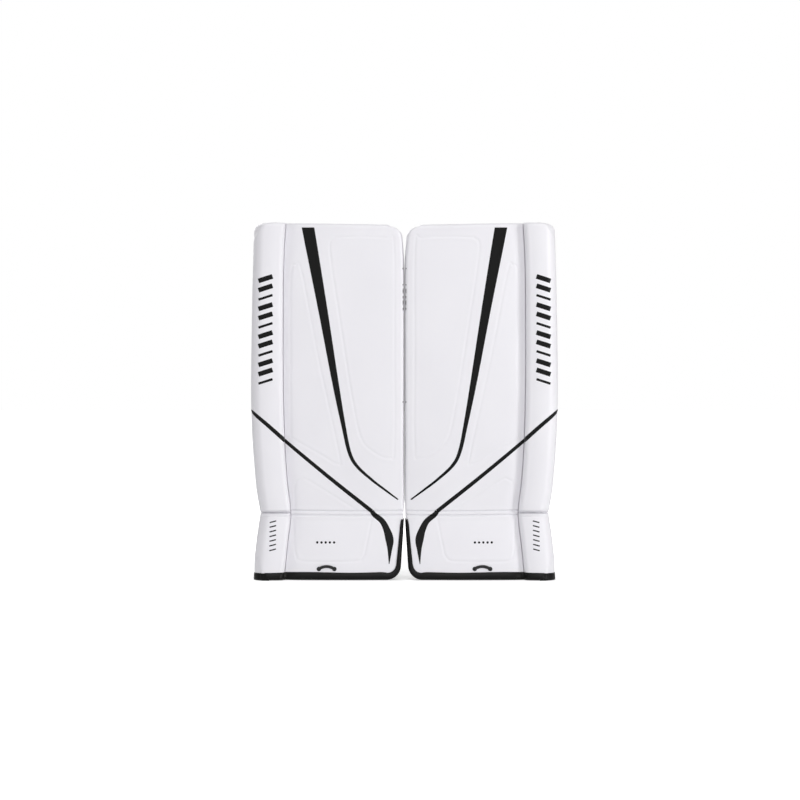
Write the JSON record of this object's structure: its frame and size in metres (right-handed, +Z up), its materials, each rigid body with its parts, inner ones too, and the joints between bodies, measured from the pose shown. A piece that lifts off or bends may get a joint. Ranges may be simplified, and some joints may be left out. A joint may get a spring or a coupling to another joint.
{
  "type": "ice hockey goalie leg pads",
  "caption": "Pair of white flat-faced ice hockey goalie leg pads with raised outer rolls, black inlaid stripes, black boot binding, toe loops, leg wings and straps.",
  "frame": {"origin": "on the floor, midway between the two pads and midway between their front and back", "axes": "+Z up, -Y towards the front face, +X towards the wearer's left leg"},
  "size_m": [0.5516, 0.196, 0.635],
  "materials": {
    "foam": "closed-cell foam",
    "white_cover": "smooth synthetic leather with a soft satin sheen",
    "board": "matt polyethylene sheet",
    "black_nylon": "coated woven nylon",
    "knit_liner": "brushed knit",
    "block_cover": "smooth synthetic leather",
    "loop_fabric": "napped loop fabric",
    "black_inlay": "fine grain synthetic leather",
    "wing_nylon": "woven nylon over foam",
    "webbing": "ribbed polyester webbing",
    "black_binding": "folded binding, satin",
    "eyelet": "blackened steel",
    "elastic_cord": "braided sheath over rubber"
  },
  "bodies": {
    "right_pad": {"right_shin_core": "foam", "right_shin_cover": "white_cover", "right_roll_core": "foam", "right_roll_cover": "white_cover", "right_stiffener_board": "board", "right_back_panel": "black_nylon", "right_leg_liner": "knit_liner", "right_thigh_pad": "knit_liner", "right_knee_cradle": "knit_liner", "right_knee_block": "block_cover", "right_calf_block": "block_cover", "right_loop_patches": "loop_fabric", "right_shin_stripes": "black_inlay"},
    "right_boot_section": {"right_boot_core": "foam", "right_boot_cover": "white_cover", "right_boot_roll_core": "foam", "right_boot_roll_cover": "white_cover", "right_boot_back_panel": "black_nylon", "right_edge_binding": "black_binding", "right_toe_eyelets": "eyelet", "right_ankle_strap_anchors": "webbing", "right_boot_stripe": "black_inlay"},
    "right_knee_wing": {"right_knee_wing": "wing_nylon", "right_knee_strap_anchor": "webbing"},
    "right_knee_strap": {"right_knee_strap": "webbing"},
    "right_calf_wing": {"right_calf_wing": "wing_nylon", "right_calf_strap_anchor": "webbing"},
    "right_calf_strap": {"right_calf_strap": "webbing"},
    "right_ankle_strap": {"right_ankle_strap": "webbing"},
    "right_toe_cord": {"right_toe_cord": "elastic_cord"},
    "left_pad": {"left_shin_core": "foam", "left_shin_cover": "white_cover", "left_roll_core": "foam", "left_roll_cover": "white_cover", "left_stiffener_board": "board", "left_back_panel": "black_nylon", "left_leg_liner": "knit_liner", "left_thigh_pad": "knit_liner", "left_knee_cradle": "knit_liner", "left_knee_block": "block_cover", "left_calf_block": "block_cover", "left_loop_patches": "loop_fabric", "left_shin_stripes": "black_inlay"},
    "left_boot_section": {"left_boot_core": "foam", "left_boot_cover": "white_cover", "left_boot_roll_core": "foam", "left_boot_roll_cover": "white_cover", "left_boot_back_panel": "black_nylon", "left_edge_binding": "black_binding", "left_toe_eyelets": "eyelet", "left_ankle_strap_anchors": "webbing", "left_boot_stripe": "black_inlay"},
    "left_knee_wing": {"left_knee_wing": "wing_nylon", "left_knee_strap_anchor": "webbing"},
    "left_knee_strap": {"left_knee_strap": "webbing"},
    "left_calf_wing": {"left_calf_wing": "wing_nylon", "left_calf_strap_anchor": "webbing"},
    "left_calf_strap": {"left_calf_strap": "webbing"},
    "left_ankle_strap": {"left_ankle_strap": "webbing"},
    "left_toe_cord": {"left_toe_cord": "elastic_cord"}
  },
  "joints": [
    {"name": "pads_apart", "type": "slide", "parent": "right_pad", "child": "left_pad", "axis": [1, 0, 0], "range_m": [0, 0.3]},
    {"name": "right_boot_flex", "type": "hinge", "parent": "right_pad", "child": "right_boot_section", "pos_m": [-0.135, -0.07353, 0.118], "axis": [-1, 0, 0], "range_deg": [-8, 25], "stiffness_Nm_per_rad": 3},
    {"name": "right_knee_wing_open", "type": "hinge", "parent": "right_pad", "child": "right_knee_wing", "pos_m": [-0.236, -0.01283, 0.4135], "axis": [0, 0, 1], "range_deg": [0, 56]},
    {"name": "right_knee_strap_open", "type": "hinge", "parent": "right_knee_wing", "child": "right_knee_strap", "pos_m": [-0.2331, 0.06448, 0.414], "axis": [0, 0, 1], "range_deg": [0, 90]},
    {"name": "right_calf_wing_open", "type": "hinge", "parent": "right_pad", "child": "right_calf_wing", "pos_m": [-0.236, -0.01283, 0.2375], "axis": [0, 0, 1], "range_deg": [0, 46]},
    {"name": "right_calf_strap_open", "type": "hinge", "parent": "right_calf_wing", "child": "right_calf_strap", "pos_m": [-0.23039, 0.07698, 0.238], "axis": [0, 0, 1], "range_deg": [0, 90]},
    {"name": "right_ankle_strap_open", "type": "hinge", "parent": "right_boot_section", "child": "right_ankle_strap", "pos_m": [-0.237, -0.03184, 0.05755], "axis": [0, 0.225, 0.9744], "range_deg": [0, 90]},
    {"name": "right_toe_loop_swing", "type": "hinge", "parent": "right_boot_section", "child": "right_toe_cord", "pos_m": [-0.138, -0.08912, 0.01881], "axis": [1, 0, 0], "range_deg": [0, 100]},
    {"name": "left_boot_flex", "type": "hinge", "parent": "left_pad", "child": "left_boot_section", "pos_m": [0.135, -0.07353, 0.118], "axis": [-1, 0, 0], "range_deg": [-8, 25], "stiffness_Nm_per_rad": 3},
    {"name": "left_knee_wing_open", "type": "hinge", "parent": "left_pad", "child": "left_knee_wing", "pos_m": [0.236, -0.01283, 0.4135], "axis": [0, 0, -1], "range_deg": [0, 56]},
    {"name": "left_knee_strap_open", "type": "hinge", "parent": "left_knee_wing", "child": "left_knee_strap", "pos_m": [0.2331, 0.06448, 0.414], "axis": [0, 0, -1], "range_deg": [0, 90]},
    {"name": "left_calf_wing_open", "type": "hinge", "parent": "left_pad", "child": "left_calf_wing", "pos_m": [0.236, -0.01283, 0.2375], "axis": [0, 0, -1], "range_deg": [0, 46]},
    {"name": "left_calf_strap_open", "type": "hinge", "parent": "left_calf_wing", "child": "left_calf_strap", "pos_m": [0.23039, 0.07698, 0.238], "axis": [0, 0, -1], "range_deg": [0, 90]},
    {"name": "left_ankle_strap_open", "type": "hinge", "parent": "left_boot_section", "child": "left_ankle_strap", "pos_m": [0.237, -0.03184, 0.05755], "axis": [0, -0.225, -0.9744], "range_deg": [0, 90]},
    {"name": "left_toe_loop_swing", "type": "hinge", "parent": "left_boot_section", "child": "left_toe_cord", "pos_m": [0.138, -0.08912, 0.01881], "axis": [1, 0, 0], "range_deg": [0, 100]}
  ]
}
